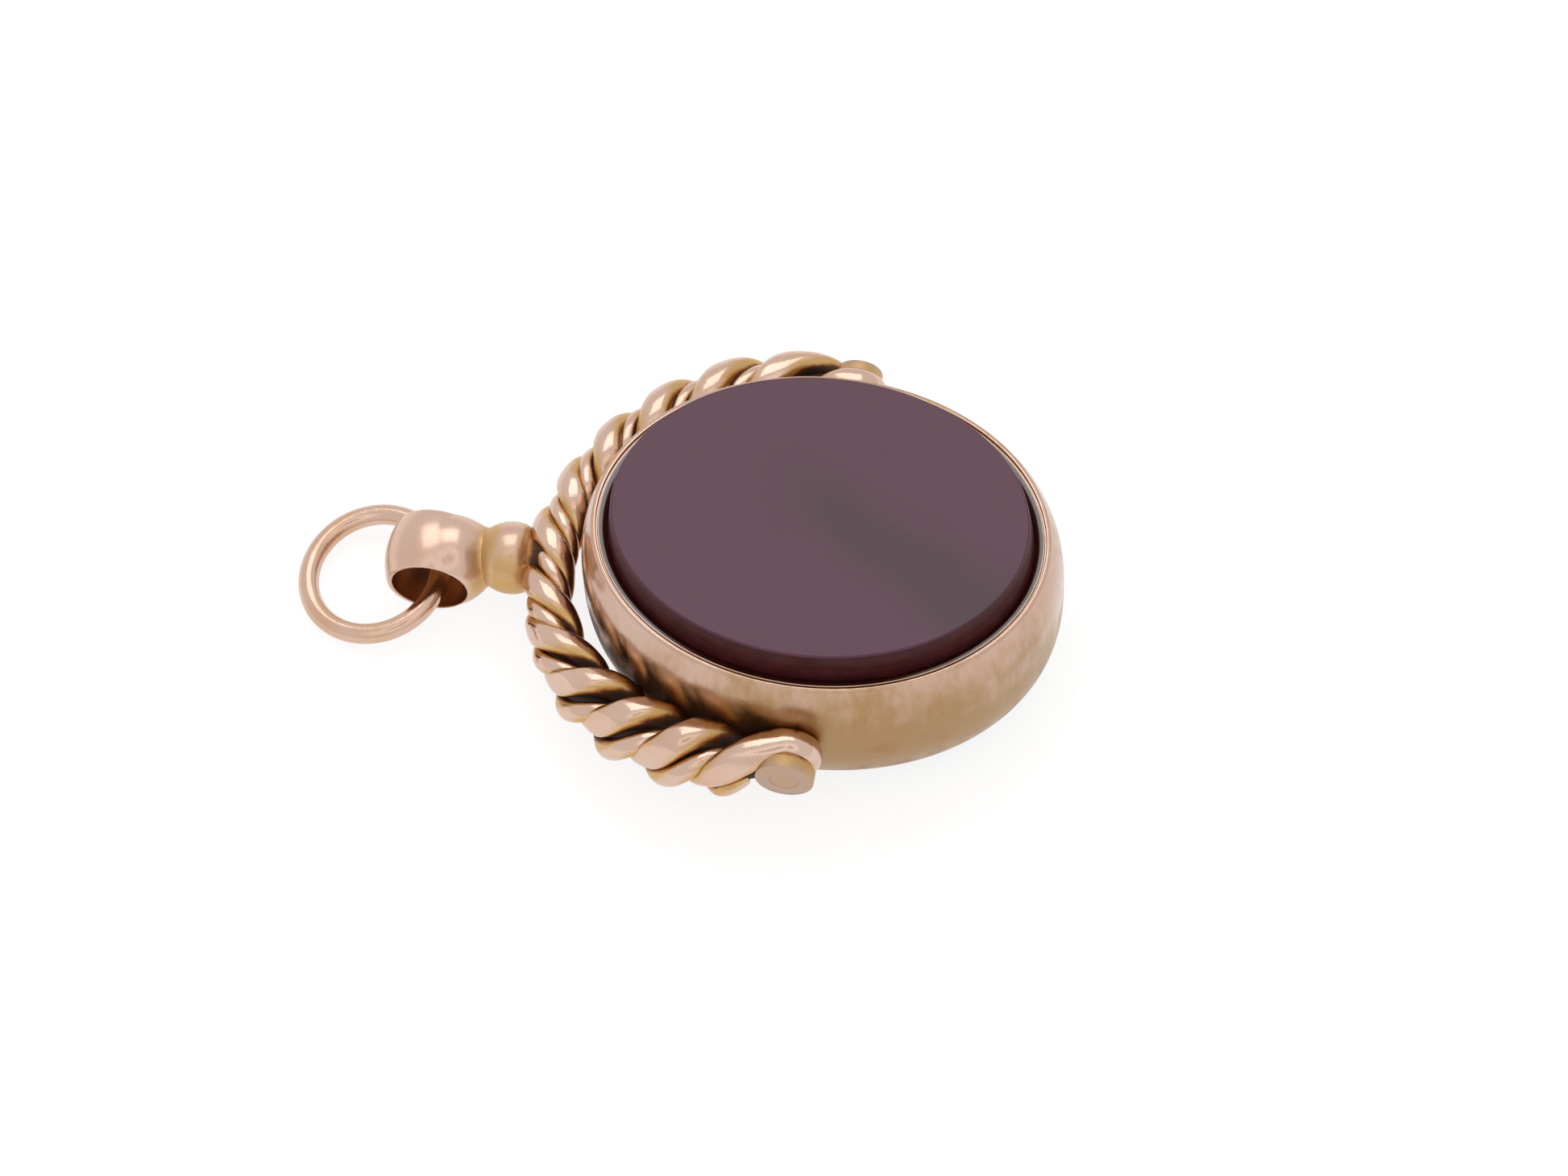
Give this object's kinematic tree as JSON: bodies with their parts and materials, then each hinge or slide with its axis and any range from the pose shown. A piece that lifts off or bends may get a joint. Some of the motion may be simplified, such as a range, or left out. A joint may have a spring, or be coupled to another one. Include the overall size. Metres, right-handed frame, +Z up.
{
  "type": "spinner fob",
  "caption": "Oval stone-set drum that spins on rivets inside a twisted rope yoke, with a turned collar, a barrel bail and a jump ring.",
  "frame": {"origin": "middle of the whole fob's footprint, on the surface that it lies on", "axes": "+X from the jump ring to the drum's far end, +Y along the rivets away from the viewer, +Z up"},
  "size_m": [0.038, 0.0246, 0.0109],
  "materials": {
    "drum_gold": "polished rose gold, tarnished low on the wall",
    "yoke_gold": "worn polished rose gold, dark in the grooves",
    "rivet_gold": "filed rose gold",
    "ring_gold": "polished rose gold",
    "carnelian": "polished dark red carnelian",
    "reverse_stone": "polished dark green bloodstone"
  },
  "bodies": {
    "drum": {"drum_shell": "drum_gold", "carnelian_plate": "carnelian", "reverse_plate": "reverse_stone"},
    "yoke": {"rope_yoke": "yoke_gold", "near_rivet": "rivet_gold", "far_rivet": "rivet_gold"},
    "ring": {"jump_ring": "ring_gold"}
  },
  "joints": [
    {"name": "drum_spin", "type": "hinge", "parent": "drum", "child": "yoke", "pos_m": [0.00727, 0.00001, 0.00545], "axis": [0, 1, 0], "continuous": true},
    {"name": "ring_swing", "type": "hinge", "parent": "yoke", "child": "ring", "pos_m": [-0.012, 0.00006, 0.00164], "axis": [-0.2588, 0.9659, 0], "range_deg": [-5, 135]}
  ]
}
